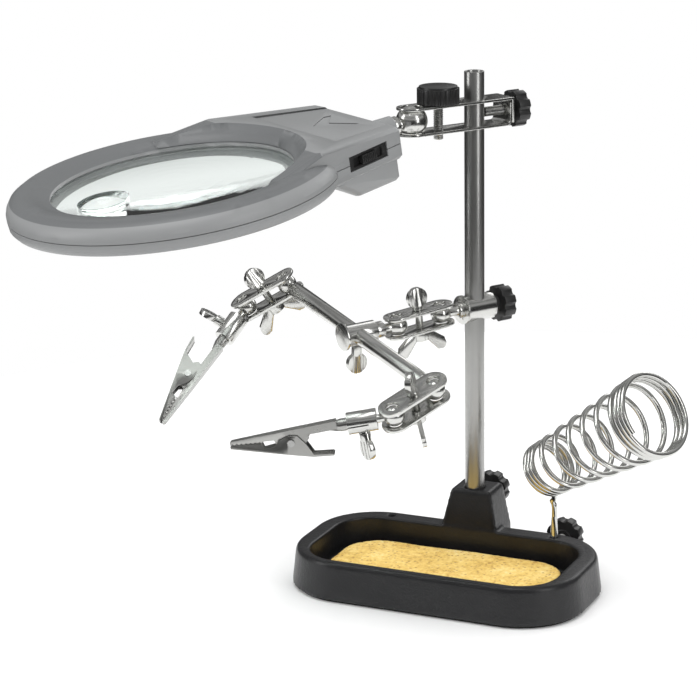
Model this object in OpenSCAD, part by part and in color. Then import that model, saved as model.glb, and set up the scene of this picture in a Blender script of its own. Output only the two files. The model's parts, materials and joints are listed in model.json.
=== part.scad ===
// Soldering helping-hand stand: cast base with sponge tray, pole, LED magnifier,
// ball-jointed arm with two clips, and a coiled iron holder.
// Origin: centre of the base's underside. +X along the base, +Y to the back, +Z up.

/* [Base] */
// Length of the base at the floor
base_l = 155; // [140:1:180]
// Width of the base at the floor
base_w = 88; // [80:1:100]
// Height of the tray rim
rim_z = 20.5; // [16:0.5:30]
// Plan radius of the base's corners at the floor
base_r = 34; // [24:1:40]
// Lean of the outer walls, each side
base_draft = 2.1; // [0:0.1:4]
// Thickness of the pad under the casting
pad_t = 1.5; // [1:0.5:3]
// Length of the tray opening
tray_l = 131; // [110:1:135]
// Width of the tray opening
tray_w = 67; // [50:1:68]
// Plan radius of the tray's corners
tray_r = 19.5; // [10:0.5:30]
// Height of the tray floor
tray_floor_z = 4.5; // [3:0.5:10]
// How far the tray sits forward of the middle
tray_shift = 3; // [0:0.5:5]
// Top of the pole block
block_top_z = 40.5; // [32:0.5:60]
// Length of the sponge
sponge_l = 118; // [90:1:120]
// Width of the sponge
sponge_w = 55; // [40:1:58]
// Thickness of the sponge
sponge_t = 7; // [4:0.5:12]

/* [Pole] */
// Outer diameter of the pole
pole_d = 10; // [8:0.5:12]
// Wall of the pole tube
pole_wall = 1; // [0.8:0.1:2]
// Distance of the pole behind the base's middle
pole_y = 40.2; // [38:0.1:42]
// Top of the pole
pole_top_z = 256.5; // [250:0.5:300]

/* [Knobs] */
// Diameter of a star knob over its lobes
star_d = 18.5; // [16:0.5:22]
// Thickness of a star knob
star_t = 6.7; // [5:0.1:9]
// Lobes on a star knob
star_lobes = 8; // [6:1:12]
// Diameter of the round bracket knob
round_knob_d = 21; // [16:0.5:26]
// Height of the round bracket knob
round_knob_h = 8.5; // [6:0.5:12]
// Diameter of the flat head of a thumb screw
thumb_d = 10.7; // [9:0.1:12]

/* [Iron holder] */
// Diameter of the holder wire
wire_d = 2.4; // [1.8:0.1:2.8]
// Distance of a holder hole from the middle of the base
holder_x = 45; // [40:0.5:50]
// Distance of a holder hole behind the middle of the base
holder_y = 36.1; // [35:0.1:37]
// Direction that the coil points in
coil_az = -25; // [-30:1:-15]
// Rise of the coil's axis
coil_rise = 32; // [28:1:36]
// Length of the coil between its end turns
coil_len = 89; // [80:1:95]
// Wire-centre radius of the small end
coil_r0 = 12.8; // [11:0.1:14]
// Wire-centre radius of the mouth
coil_r1 = 20.3; // [18:0.1:22]

/* [Magnifier] */
// Height of the bracket's middle
bracket_z = 235.5; // [220:0.5:240]
// Direction of the bracket and the magnifier
head_az = -124; // [-130:1:-118]
// Nod of the magnifier
head_pitch = -8.2; // [-10:0.1:-5]
// Diameter of the clear opening over the lens
opening_d = 114.2; // [110:0.1:116]
// Outer diameter of the lens ring
ring_d = 156; // [154:1:160]
// Distance from the bracket's ball to the ring's centre
ring_reach = 133; // [130:1:140]

/* [Arm] */
// Height of the lower collar's middle
collar_z = 136; // [120:1:150]
// Direction of the collar's stud
collar_az = -122; // [-126:1:-118]
// Direction of the middle joint's plates
mid_az = -127; // [-130:1:-124]
// Rise of the middle joint's plates
mid_rise = -6.4; // [-8:0.1:0]
// Direction of the tee's axis
tee_az = -126.5; // [-130:0.5:-122]
// Rise of the tee's axis
tee_rise = -2.1; // [-5:0.1:0]
// Roll of the rod about the tee's axis
rod_roll = -8; // [-12:1:0]
// Diameter of the arm rod
rod_d = 8; // [7:0.5:8]
// Ball to ball length of the arm rod
rod_span = 147.4; // [140:0.1:156]

/* [Hidden] */

$fn = 64;
fit = 0.05;          // radial clearance of a running fit

pole_r = pole_d / 2;
pole_foot_z = 6;
block_front_y = 33.5;
block_back_y = 52.5;
pole_screw_z = 32;
holder_hole_r = 2;
holder_screw_z = 15.5;
screw_r = 2.45;
screw_gap = 0.2;

// Clip joint frames: azimuth, rise and roll of the plates, then of the sleeve and clip
left_plates = [-167.9, -30.8, -16.2];
right_plates = [-121.3, -19.9, -10.2];
left_clip = [-111, -39.7, -125];
right_clip = [-158.2, -9.9, 0];

ball_r = 5;
ball_gap = 25;
plate_in = 4;
plate_t = 1.5;
plate_out = plate_in + plate_t;
plate_r = 6.7;
thumb_shank_r = 1.95;

head_ball_r = 7.8;
head_ball_x = 37;
bracket_half = 7;
bracket_t = 1.25;
bracket_w = 15;
bracket_bolt_x = 21.4;
bracket_wall_x = -19.2;
bolt_r = 2.45;

// Lens ring: heights are measured from the plane of the opening
ring_up = 6.3;
ring_r = ring_d / 2;
open_r = opening_d / 2;
lens_r = open_r + 2.4;
parting_z = -6;
handle_part_z = -3.2;
part_gap = 0.4;
door_slope = 3.8;
nub_r = 5.5;

// A unit vector from an azimuth and a rise
function heading(az, rise) = [cos(rise) * cos(az), cos(rise) * sin(az), sin(rise)];

// Third axis of a frame given by azimuth, rise and roll, and its second axis
function across(f) =
    [-sin(f[0]), cos(f[0]), 0] * cos(f[2])
    + [-sin(f[1]) * cos(f[0]), -sin(f[1]) * sin(f[0]), cos(f[1])] * sin(f[2]);

head_ball = [0, pole_y, bracket_z] + head_ball_x * heading(head_az, 0);
collar_ball_x = 21.3;
mid_start = [0, pole_y, collar_z] + collar_ball_x * heading(collar_az, 0);
mid_end = mid_start + ball_gap * heading(mid_az, mid_rise);
rod_in_tee = 23;
rod_dir = across([tee_az, tee_rise, rod_roll]);
rod_mid = mid_end + rod_in_tee * heading(tee_az, tee_rise);
left_ball = rod_mid - rod_span / 2 * rod_dir;
right_ball = rod_mid + rod_span / 2 * rod_dir;
left_clip_ball = left_ball + ball_gap * heading(left_plates[0], left_plates[1]);
right_clip_ball = right_ball + ball_gap * heading(right_plates[0], right_plates[1]);

// Puts children in a frame: x along the heading, z its upper normal
module place(at, f) {
    translate(at) rotate([f[2], -f[1], f[0]]) children();
}
module at_bracket() { place([0, pole_y, bracket_z], [head_az, 0, 0]) children(); }
module at_head() { place(head_ball, [head_az, head_pitch, 0]) children(); }
// x runs back from the ring's centre towards the handle, z from the opening's plane
module at_ring() { at_head() translate([ring_reach, 0, ring_up]) rotate([0, 0, 180]) children(); }
module at_collar() { place([0, pole_y, collar_z], [collar_az, 0, 0]) children(); }
module at_mid() { place(mid_start, [mid_az, mid_rise, 0]) children(); }
module at_tee() { place(mid_end, [tee_az, tee_rise, rod_roll]) children(); }
module at_left_plates() { place(left_ball, left_plates) children(); }
module at_right_plates() { place(right_ball, right_plates) children(); }
module at_left_clip() { place(left_clip_ball, left_clip) children(); }
module at_right_clip() { place(right_clip_ball, right_clip) children(); }

// A cylinder along x from x0 to x1
module rod_x(r, x0, x1) { translate([x0, 0, 0]) rotate([0, 90, 0]) cylinder(r = r, h = x1 - x0); }
// A ball whose poles lie along x
module ball(r) { rotate([0, 90, 0]) sphere(r); }
// A cylinder along y from y0 to y1
module rod_y(r, y0, y1) { translate([0, y0, 0]) rotate([-90, 0, 0]) cylinder(r = r, h = y1 - y0); }
// A cylinder along z from z0 to z1
module rod_z(r, z0, z1) { translate([0, 0, z0]) cylinder(r = r, h = z1 - z0); }

// Plan outline with round corners
module round_rect(l, w, r) {
    square([l - 2 * r, w], center = true);
    square([l, w - 2 * r], center = true);
    for (sx = [-1, 1])
        for (sy = [-1, 1])
            translate([sx * (l / 2 - r), sy * (w / 2 - r)]) circle(r);
}

// ---- Base ----
module base_slab(z, shrink) {
    translate([0, 0, z])
        linear_extrude(0.1)
            round_rect(base_l - 2 * shrink, base_w - 2 * shrink, base_r - shrink);
}

module pole_block() {
    hull() {
        translate([-15.5, tray_w / 2 - tray_shift, pad_t])
            cube([31, block_back_y - tray_w / 2 + tray_shift, 17]);
        translate([-11, block_front_y, block_top_z - 2]) cube([22, block_back_y - block_front_y, 0.5]);
        translate([-10, block_front_y + 1, block_top_z - 0.5])
            cube([20, block_back_y - block_front_y - 2, 0.5]);
    }
}

module base_casting() {
    color("#1b1b1c")
    difference() {
        union() {
            hull() {
                base_slab(pad_t, 0);
                base_slab(rim_z - 1.6, base_draft);
                base_slab(rim_z - 0.1, base_draft + 1.2);
            }
            pole_block();
        }
        translate([0, -tray_shift, tray_floor_z])
            linear_extrude(rim_z)
                round_rect(tray_l, tray_w, tray_r);
        translate([0, pole_y, 0]) rod_z(pole_r + fit, pole_foot_z, block_top_z + 1);
        for (sx = [-1, 1])
            translate([sx * holder_x, holder_y, 0]) rod_z(holder_hole_r, 8, rim_z + 1);
        translate([0, 0, pole_screw_z]) rod_y(screw_r + fit, pole_y, block_back_y + 1);
        translate([holder_x, 0, holder_screw_z]) rod_y(screw_r + fit, holder_y, base_w / 2 + 1);
    }
}

module base_pad() {
    color("#101010")
        linear_extrude(pad_t)
            round_rect(base_l - 5, base_w - 5, base_r - 2.5);
}

module sponge() {
    color("#d9b36a")
        translate([0, -tray_shift, tray_floor_z])
            linear_extrude(sponge_t)
                round_rect(sponge_l, sponge_w, 19);
}

// ---- Pole and lock screws ----
module pole() {
    color("#b9b9b6")
    translate([0, pole_y, 0])
    difference() {
        rod_z(pole_r, pole_foot_z, pole_top_z);
        rod_z(pole_r - pole_wall, pole_foot_z - 1, pole_top_z + 1);
    }
}

// Star knob along x, its inner face at x = 0
module star_knob() {
    color("#161616")
    difference() {
        union() {
            rotate([0, 90, 0])
                linear_extrude(star_t)
                    difference() {
                        circle(d = star_d);
                        for (i = [0:star_lobes - 1])
                            rotate(i * 360 / star_lobes)
                                translate([star_d / 2 + 1.1, 0]) circle(2.2);
                    }
            rod_x(4.2, -1.2, 0.1);
        }
        rod_x(screw_r, -2, star_t - 1.5);
    }
}

// Steel screw of a star knob along x, from its tip at x = 0 to inside the knob
module star_screw(len) {
    color("#a9a9a6") {
        rod_x(screw_r - 0.4, 0, 0.6);
        rod_x(screw_r, 0.5, len);
    }
}

module pole_lock_knob() { translate([0, 61, pole_screw_z]) rotate([0, 0, 90]) star_knob(); }
module pole_lock_screw() {
    tip = pole_y + pole_r + screw_gap;
    translate([0, tip, pole_screw_z]) rotate([0, 0, 90]) star_screw(61 + star_t - 2 - tip);
}
module holder_lock_knob() {
    translate([holder_x, 49.5, holder_screw_z]) rotate([0, 0, 90]) star_knob();
}
module holder_lock_screw() {
    tip = holder_y + holder_hole_r + 0.1;
    translate([holder_x, tip, holder_screw_z]) rotate([0, 0, 90]) star_screw(49.5 + star_t - 2 - tip);
}

// ---- Iron holder ----
coil_start = [39, 36, 55];
coil_axis = heading(coil_az, coil_rise);
coil_side = [-sin(coil_az), cos(coil_az), 0];
coil_up = [-sin(coil_rise) * cos(coil_az), -sin(coil_rise) * sin(coil_az), cos(coil_rise)];
turns = 11.8;
coil_steps = 19 * turns;
close_pitch = wire_d * 1.06;

// Distance along the axis after t turns: three close turns, open ones, three close ones
open_turns = turns - 6;
open_pitch = (coil_len - 6 * close_pitch) / open_turns;
function coil_travel(t) =
    t < 3 ? t * close_pitch
    : t < 3 + open_turns ? 3 * close_pitch + (t - 3) * open_pitch
    : 3 * close_pitch + open_turns * open_pitch + (t - 3 - open_turns) * close_pitch;
function coil_angle(t) = -90 + 360 * t;
function coil_point(t) =
    let (along = coil_travel(t), r = coil_r0 + (coil_r1 - coil_r0) * along / coil_len)
    coil_start + along * coil_axis
    + r * cos(coil_angle(t)) * coil_side + r * sin(coil_angle(t)) * coil_up;

leg_top = [holder_x, holder_y, 37];
coil_foot = coil_point(0);
holder_path = concat(
    [leg_top + [0, 0, -2], leg_top, leg_top + [-1, 0, 1.6]],
    [coil_foot + [2.6, 2.4, -0.5]],
    [for (i = [0:coil_steps]) coil_point(i * turns / coil_steps)]
);

function unit(v) = v / norm(v);
function path_dir(p, i) =
    unit(p[min(i + 1, len(p) - 1)] - p[max(i - 1, 0)]);

// Tube of a given radius swept along a list of points
module sweep(path, r, sides) {
    last = len(path) - 1;
    ref = unit([0.31, 0.17, 0.93]);
    points = [
        for (i = [0:last])
            let (d = path_dir(path, i), u = unit(cross(d, cross(ref, d) + 0.001 * ref)), v = cross(d, u))
            for (k = [0:sides - 1])
                path[i] + r * (cos(360 * k / sides) * u + sin(360 * k / sides) * v)
    ];
    sides_faces = [
        for (i = [0:last - 1])
            for (k = [0:sides - 1])
                let (n = (k + 1) % sides, a = i * sides, b = a + sides)
                each [[a + k, b + k, b + n], [a + k, b + n, a + n]]
    ];
    caps = [
        [for (k = [0:sides - 1]) k],
        [for (k = [sides - 1:-1:0]) last * sides + k]
    ];
    polyhedron(points = points, faces = concat(sides_faces, caps));
}

module iron_holder() {
    color("#c4c4c2") {
        translate([holder_x, holder_y, 0]) {
            rod_z(holder_hole_r - fit, 8.3, 23);
            translate([0, 0, 23]) cylinder(r1 = holder_hole_r - fit, r2 = wire_d / 2, h = 9);
            rod_z(wire_d / 2, 31, 36);
        }
        sweep(holder_path, wire_d / 2, 8);
    }
}

// ---- Magnifier bracket ----
// Side outline of the upper plate with its wall turned down at the pole end
module bracket_upper_plate() {
    color("#c9c9c7")
    at_bracket()
    difference() {
        union() {
            translate([0, 0, bracket_half - bracket_t]) linear_extrude(bracket_t) {
                translate([bracket_wall_x, -bracket_w / 2]) square([head_ball_x - bracket_wall_x, bracket_w]);
                translate([head_ball_x, 0]) circle(d = bracket_w);
            }
            translate([bracket_wall_x, -bracket_w / 2, -5.6])
                cube([bracket_t, bracket_w, bracket_half + 5.6]);
        }
        rod_z(pole_r + fit, 0, bracket_half + 1);
        translate([bracket_bolt_x, 0, 0]) rod_z(bolt_r + fit, 0, bracket_half + 1);
        translate([head_ball_x, 0, 0]) rod_z(5.45, 0, bracket_half + 1);
        rod_x(screw_r + fit, bracket_wall_x - 1, bracket_wall_x + 3);
    }
}

// Lower plate with its wall turned up inside the upper plate's wall
module bracket_lower_plate() {
    wall_x = bracket_wall_x + bracket_t + 0.15;
    bend_r = 3;
    color("#c9c9c7")
    at_bracket()
    difference() {
        union() {
            translate([0, 0, -bracket_half]) linear_extrude(bracket_t) {
                translate([wall_x + bend_r, -bracket_w / 2])
                    square([head_ball_x - wall_x - bend_r, bracket_w]);
                translate([head_ball_x, 0]) circle(d = bracket_w);
            }
            translate([wall_x, -bracket_w / 2, -bracket_half + bend_r]) cube([bracket_t, bracket_w, 8.4]);
            translate([wall_x + bend_r, 0, -bracket_half + bend_r])
            intersection() {
                difference() {
                    rod_y(bend_r, -bracket_w / 2, bracket_w / 2);
                    rod_y(bend_r - bracket_t, -bracket_w, bracket_w);
                }
                translate([-bend_r - 1, -bracket_w, -bend_r - 1]) cube([bend_r + 1, 2 * bracket_w, bend_r + 1]);
            }
        }
        rod_z(pole_r + fit, -bracket_half - 1, 0);
        translate([bracket_bolt_x, 0, 0]) rod_z(bolt_r + fit, -bracket_half - 1, 0);
        translate([head_ball_x, 0, 0]) rod_z(5.45, -bracket_half - 1, 0);
        rod_x(screw_r + fit, wall_x - 1, wall_x + 3);
    }
}

module bracket_knob() {
    ribs = 24;
    color("#171717")
    at_bracket()
    translate([bracket_bolt_x, 0, bracket_half + 0.3])
    difference() {
        union() {
            linear_extrude(round_knob_h - 1)
                difference() {
                    circle(d = round_knob_d);
                    for (i = [0:ribs - 1])
                        rotate(i * 360 / ribs) translate([round_knob_d / 2 + 0.15, 0]) circle(0.7, $fn = 16);
                }
            rod_z(round_knob_d / 2 - 1, 0, round_knob_h);
        }
        rod_z(bolt_r, -1, round_knob_h - 2);
    }
}

module bracket_bolt() {
    color("#b4b4b1")
    at_bracket()
    translate([bracket_bolt_x, 0, 0])
        rod_z(bolt_r, -bracket_half - 3.2, bracket_half + round_knob_h - 2.2);
}

module bracket_star_knob() { at_bracket() translate([-21.6, 0, 0]) rotate([0, 0, 180]) star_knob(); }
module bracket_star_screw() {
    tip = pole_r + screw_gap;
    at_bracket() translate([-tip, 0, 0]) rotate([0, 0, 180]) star_screw(21.6 + star_t - 2 - tip);
}

// ---- Magnifier ----
module magnifier_ball_stud() {
    color("#cfcfcd")
    at_head() {
        ball(head_ball_r);
        rod_x(3, 5, 11.6);
        rod_x(4.7, 9, 11.5);
        rod_x(2.5, 11, 26);
    }
}

// Half width of the handle at a distance back from the ring's centre
function handle_w(s) = 54.5 - (s - 50) * 0.3113;

// Corner post of the handle, with its edge broken at the outer end
module post(x, y, z0, z1) {
    r = 3.2;
    edge = sign(z1 - z0) * 1.6;
    translate([x, y, min(z0, z1 - edge)]) cylinder(r = r, h = abs(z1 - edge - z0), $fn = 20);
    translate([x, y, min(z0, z1)]) cylinder(r = r - 1.5, h = abs(z1 - z0), $fn = 20);
}

// Outer body of the handle above its parting line
module handle_top() {
    hull()
        for (sy = [-1, 1]) {
            post(24, sy * (handle_w(24) - 3.4), handle_part_z, 3.3);
            post(50, sy * (handle_w(50) - 3.2), handle_part_z, 8);
            post(99.8, sy * (handle_w(99.8) - 3.2), handle_part_z, 4.4);
            post(101.9, sy * 17, handle_part_z, 4.2);
        }
}

// Outer body of the handle below its parting line, with the battery bulge
module handle_bottom() {
    z0 = handle_part_z - part_gap;
    hull()
        for (sy = [-1, 1]) {
            post(40, sy * (handle_w(40) - 3.2), z0, -10.8);
            post(99.8, sy * (handle_w(99.8) - 3.2), z0, -10.8);
            post(101.9, sy * 17, z0, -10.8);
        }
    hull()
        for (sy = [-1, 1]) {
            post(62.5, sy * (handle_w(62.5) - 3.8), -6, -13);
            post(73.5, sy * (handle_w(73.5) - 5.6), -6, -20.5);
            post(96.5, sy * (handle_w(96.5) - 4.2), -6, -20.5);
            post(100.6, sy * 15, -6, -20);
            post(101.6, sy * 17, -6, -12);
        }
}

// Hollow of the handle between two heights, its sides set in from the outer face
module handle_hollow(z0, z1, front, inset = 2.2) {
    translate([0, 0, z0]) linear_extrude(z1 - z0)
        polygon([
            [front, inset - handle_w(front)], [101, inset + 1.2 - handle_w(101)], [103.2, -15],
            [103.2, 15], [101, handle_w(101) - inset - 1.2], [front, handle_w(front) - inset]
        ]);
}

// Slope from the lens opening up to the handle's top
module opening_bevel() {
    translate([0, 0, -1]) cylinder(r1 = open_r - 1, r2 = open_r + 8, h = 10);
}

// The battery door lies in a sloping frame at its front edge
door_front = 67;
door_len = 36;
module at_door() { at_ring() translate([door_front, 0, 6]) rotate([0, door_slope, 0]) children(); }
module door_outline(grow) {
    polygon([
        [-grow, -39 - grow], [door_len + grow, -28 - grow],
        [door_len + grow, 28 + grow], [-grow, 39 + grow]
    ]);
}

// The switch sits in the near side wall
module at_switch() {
    at_ring() translate([79.5, -handle_w(79.5) + 0.1, handle_part_z + 0.2]) rotate([0, 0, 17.3]) children();
}

led_spots = [-28, 28];
led_r = 66;
boss_spots = [[67, 128], [67, -128], [67, 180]];

module ring_top_profile() {
    polygon([
        [open_r, 0], [open_r + 3, 1.6], [open_r + 7, 3.2], [open_r + 11.4, 3.9],
        [ring_r - 5.5, 3.3], [ring_r - 2.4, 1.4], [ring_r - 0.7, -1.2], [ring_r, -3.6],
        [ring_r, parting_z + part_gap], [ring_r - 1.8, parting_z + part_gap], [ring_r - 1.8, -3.4],
        [ring_r - 2.6, -1.2], [ring_r - 4.1, 0.4], [ring_r - 6.2, 1.6], [open_r + 11.4, 2.1],
        [open_r + 7.5, 1.4], [open_r + 3.5, -0.4], [open_r + 3.5, -1.6], [open_r, -1.6]
    ]);
}

module ring_bottom_profile() {
    polygon([
        [ring_r, parting_z], [ring_r - 0.4, -9.5], [ring_r - 2, -11.4], [ring_r - 5, -12],
        [open_r + 2.4, -12], [open_r + 0.9, -11.5], [open_r + 0.5, -10.5], [open_r + 0.5, -4.8],
        [open_r + 2.6, -4.8], [open_r + 2.6, -1.9], [open_r + 4.2, -1.9], [open_r + 4.2, -10.2],
        [ring_r - 5, -10.2], [ring_r - 2.8, -9.4], [ring_r - 1.8, parting_z]
    ]);
}

module cell_bay() { translate([69, -24, -18]) cube([34.2, 48, 20]); }

module magnifier_top_shell() {
    color("#9b9d9c")
    difference() {
        at_ring() {
            difference() {
                rotate_extrude($fn = 128) ring_top_profile();
                handle_hollow(-9, handle_part_z, 51, -0.4);
                cell_bay();
            }
            difference() {
                handle_top();
                handle_hollow(-9, 1.8, 67);
                opening_bevel();
                translate([0, 0, -9]) cylinder(r = ring_r - 3, h = 9.5);
            }
            for (b = boss_spots)
                rotate([0, 0, b[1]]) translate([b[0], 0, 0]) rod_z(2.6, -10, 2.5);
        }
        at_door() translate([0, 0, -2.1]) linear_extrude(8) door_outline(0.25);
        at_door() translate([door_len - 1, -28, -2.1]) cube([9, 56, 8]);
        at_door() translate([3, -24, -8]) cube([door_len - 5, 48, 8]);
        at_switch() translate([-13.6, -2, -3.6]) cube([27.2, 6, 7.2]);
        at_head() rod_x(nub_r + fit, 10, 40);
        at_ring()
            for (b = boss_spots)
                rotate([0, 0, b[1]]) translate([b[0], 0, 0]) rod_z(1.25, -11, -3.3);
    }
}

module magnifier_bottom_shell() {
    color("#a3a5a4")
    difference() {
        union() {
            at_ring() {
                rotate_extrude($fn = 128) ring_bottom_profile();
                difference() {
                    handle_bottom();
                    handle_hollow(-10.2, 0, 55);
                    translate([0, 0, -18]) linear_extrude(9)
                        polygon([[69, -42], [98, -34], [98, 34], [69, 42]]);
                    translate([0, 0, -11.9]) cylinder(r = ring_r - 1, h = 40);
                }
            }
            at_head() rod_x(nub_r, 12, 30.5);
        }
        at_ring() cell_bay();
        at_head() rod_x(2.5 + fit, 11, 27);
        at_switch() translate([-13.6, -2, -3.6]) cube([27.2, 6, 7.2]);
        at_ring() {
            for (a = led_spots)
                rotate([0, 0, a]) translate([led_r, 0, 0]) rod_z(2.55, -16, -9);
            for (b = boss_spots)
                rotate([0, 0, b[1]]) translate([b[0], 0, 0]) {
                    rod_z(1.35, -13, -9);
                    rod_z(2.4, -13, -11.2);
                }
        }
    }
}

lens_bulge = 2.4;
lens_steps = 8;
// Height of a lens face at a distance from its axis
function lens_face(r) = lens_bulge * (1 - pow(r / (open_r - 0.5), 2));
module main_lens() {
    color("#d7e6e0", 0.4)
    at_ring()
    difference() {
        rotate_extrude($fn = 96)
            polygon(concat(
                [for (i = [0:lens_steps]) let (r = i * (open_r - 0.5) / lens_steps) [r, -1.7 + lens_face(r)]],
                [[lens_r, -1.7], [lens_r, -4.7]],
                [for (i = [lens_steps:-1:0])
                    let (r = i * (open_r - 0.5) / lens_steps) [r, -4.7 - lens_face(r)]]
            ));
        translate([-36, 0, 0]) rod_z(12.1, -12, 5);
    }
}

// Small strong lens let into the main lens near its tip
module inset_lens() {
    color("#cfe0da", 0.5)
    at_ring()
    translate([-36, 0, 0])
    intersection() {
        rod_z(12, -8.5, 1);
        translate([0, 0, -18.4]) sphere(19, $fn = 96);
        translate([0, 0, 10.9]) sphere(19, $fn = 96);
    }
}

module battery_door() {
    color("#939594")
    at_door()
    difference() {
        translate([0, 0, -2]) linear_extrude(2) door_outline(0);
        translate([20, 0, -0.5]) linear_extrude(1)
            polygon([[-9, 0], [5, -13], [9, -13], [0, 0], [9, 13], [5, 13]]);
    }
}

cell_spots = [75, 86, 97];
module batteries() {
    color("#4f6f8f")
    at_ring()
    for (i = [0:2])
        translate([cell_spots[i], 0, -8]) {
            rod_y(5.25, -22.2, 21.4);
            mirror([0, i % 2, 0]) rod_y(1.9, 21.3, 22.2);
        }
}

module battery_contacts() {
    color("#c8c8c4")
    at_ring()
    for (sy = [-1, 1])
        translate([69, sy * 22.6 - 0.2, -12.5]) cube([32, 0.4, 9]);
}

module switch_body() {
    color("#141414")
    at_switch()
    difference() {
        translate([-13.4, 0.1, -3.4]) cube([26.8, 3.6, 6.8]);
        translate([-10.2, -1, -2.2]) cube([20.4, 3, 4.4]);
    }
}

module switch_slider() {
    color("#1d1d1d")
    at_switch()
    difference() {
        translate([-5, -1, -2]) cube([10, 2.9, 4]);
        for (i = [-3:3])
            translate([i * 1.3 - 0.3, -1.5, -3]) cube([0.6, 0.9, 6]);
    }
}

module leds() {
    color("#f4f6ff")
    at_ring()
    for (a = led_spots)
        rotate([0, 0, a]) translate([led_r, 0, 0]) {
            rod_z(2.9, -10.1, -9.1);
            rod_z(2.5, -12.6, -9.5);
            translate([0, 0, -12.6]) sphere(2.5, $fn = 32);
        }
}

module shell_screws() {
    color("#8d8d8b")
    at_ring()
    for (b = boss_spots)
        rotate([0, 0, b[1]]) translate([b[0], 0, 0])
            difference() {
                union() {
                    rod_z(1.25, -11.5, -3.4);
                    rod_z(2.3, -11.9, -11.3);
                }
                translate([-1.6, -0.25, -13]) cube([3.2, 0.5, 1.4]);
                translate([-0.25, -1.6, -13]) cube([0.5, 3.2, 1.4]);
            }
}

// ---- Collar on the pole ----
collar_r = 6.8;
module collar() {
    color("#c2c2bf")
    at_collar()
    difference() {
        union() {
            rod_x(collar_r, -9.6, 7.2);
            rod_x(7.3, 7.1, 8.3);
        }
        rod_z(pole_r + fit, -20, 20);
        rod_x(screw_r + fit, -10, 0);
        rod_x(2, 5, 9);
    }
}

module collar_ball_stud() {
    color("#cfcfcd")
    at_collar() {
        rod_x(2, 5.6, 8.4);
        rod_x(4, 8.3, 11.4);
        rod_x(2.4, 11.3, 18);
        translate([collar_ball_x, 0, 0]) ball(ball_r);
    }
}

module collar_star_knob() { at_collar() translate([-13.2, 0, 0]) rotate([0, 0, 180]) star_knob(); }
module collar_star_screw() {
    tip = pole_r + screw_gap;
    at_collar() translate([-tip, 0, 0]) rotate([0, 0, 180]) star_screw(13.2 + star_t - 2 - tip);
}

// ---- Double ball joint: two plates, a thumb screw and a wing nut ----
// x runs from the first ball to the second, z out through the upper plate
module joint_plate(z0) {
    color("#8f8f8c")
    translate([0, 0, z0])
    difference() {
        linear_extrude(plate_t) {
            translate([0, -plate_r]) square([ball_gap, 2 * plate_r]);
            circle(plate_r);
            translate([ball_gap, 0]) circle(plate_r);
        }
        for (x = [0, ball_gap])
            translate([x, 0, 0]) rod_z(3.2, -1, plate_t + 1);
        translate([ball_gap / 2, 0, 0]) rod_z(thumb_shank_r + fit, -1, plate_t + 1);
    }
}

// Flat grooved head on a shank that runs down from it, the head's middle at z = 0
module thumb_screw(reach, tail, turn) {
    color("#c6c6c3") {
        rotate([0, 0, turn])
        difference() {
            rod_y(thumb_d / 2, -1.4, 1.4);
            for (sy = [-1, 1])
                for (i = [-1:1])
                    translate([i * 3 - 0.4, sy * 1.4 - 0.3, -8]) cube([0.8, 0.6, 16]);
        }
        rod_z(2.7, -reach + 0.1, -thumb_d / 2 + 1);
        rod_z(thumb_shank_r, -reach - tail, -reach + 0.2);
    }
}

module joint_thumb_screw(turn) {
    translate([ball_gap / 2, 0, plate_out + 6.1]) thumb_screw(6, 2 * plate_out + 5.5, turn);
}

module wing_nut(turn) {
    color("#c6c6c3")
    translate([ball_gap / 2, 0, 0]) rotate([0, 0, turn])
    difference() {
        union() {
            rod_z(4, -plate_out - 4.8, -plate_out - 0.1);
            for (sx = [0, 180])
                rotate([0, 0, sx]) rotate([90, 0, 0])
                    translate([0, 0, -1.1]) linear_extrude(2.2) {
                        polygon([[2.6, -7], [2.6, -10], [9.2, -17.6], [13.6, -15], [13, -11.8], [6, -6.6]]);
                        translate([11.2, -15.1]) circle(2.6);
                    }
        }
        rod_z(thumb_shank_r + fit, -plate_out - 6, 0);
    }
}

module mid_upper_plate() { at_mid() joint_plate(plate_in); }
module mid_lower_plate() { at_mid() joint_plate(-plate_out); }
module mid_thumb_screw() { at_mid() joint_thumb_screw(0); }
module mid_wing_nut() { at_mid() wing_nut(0); }
module left_upper_plate() { at_left_plates() joint_plate(plate_in); }
module left_lower_plate() { at_left_plates() joint_plate(-plate_out); }
module left_thumb_screw() { at_left_plates() joint_thumb_screw(40); }
module left_wing_nut() { at_left_plates() wing_nut(20); }
module right_upper_plate() { at_right_plates() joint_plate(plate_in); }
module right_lower_plate() { at_right_plates() joint_plate(-plate_out); }
module right_thumb_screw() { at_right_plates() joint_thumb_screw(40); }
module right_wing_nut() { at_right_plates() wing_nut(60); }

// ---- Tee and arm rod ----
tee_r = 5.5;
module tee_barrel() {
    color("#c2c2bf")
    at_tee()
    difference() {
        union() {
            rod_x(tee_r, 13.6, 30.4);
            rod_x(6.9, 30.3, 31.5);
        }
        translate([rod_in_tee, 0, 0]) rod_y(rod_d / 2 + fit, -10, 10);
        translate([rod_in_tee, 0, 0]) rod_z(thumb_shank_r + fit, -10, 0);
        rod_x(2, 13, 17.5);
    }
}

module tee_ball_stud() {
    color("#cfcfcd")
    at_tee() {
        ball(ball_r);
        rod_x(2.4, 4, 9);
        rod_x(4.25, 8.8, 13.6);
        rod_x(2, 13.5, 17);
    }
}

module tee_thumb_screw() {
    at_tee() translate([rod_in_tee, 0, -15.3]) rotate([180, 0, 0]) thumb_screw(9.6, 1.4, 0);
}

module arm_rod() {
    end = rod_span / 2;
    color("#bdbdba")
    at_tee()
    translate([rod_in_tee, 0, 0]) {
        rod_y(rod_d / 2, -end + 9.2, end - 9.2);
        for (sy = [-1, 1]) {
            translate([0, sy * end, 0]) rotate([0, 0, 90]) ball(ball_r);
            rotate([0, 0, sy * 90]) rod_x(2, end - 9.4, end - 4);
        }
    }
}

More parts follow.
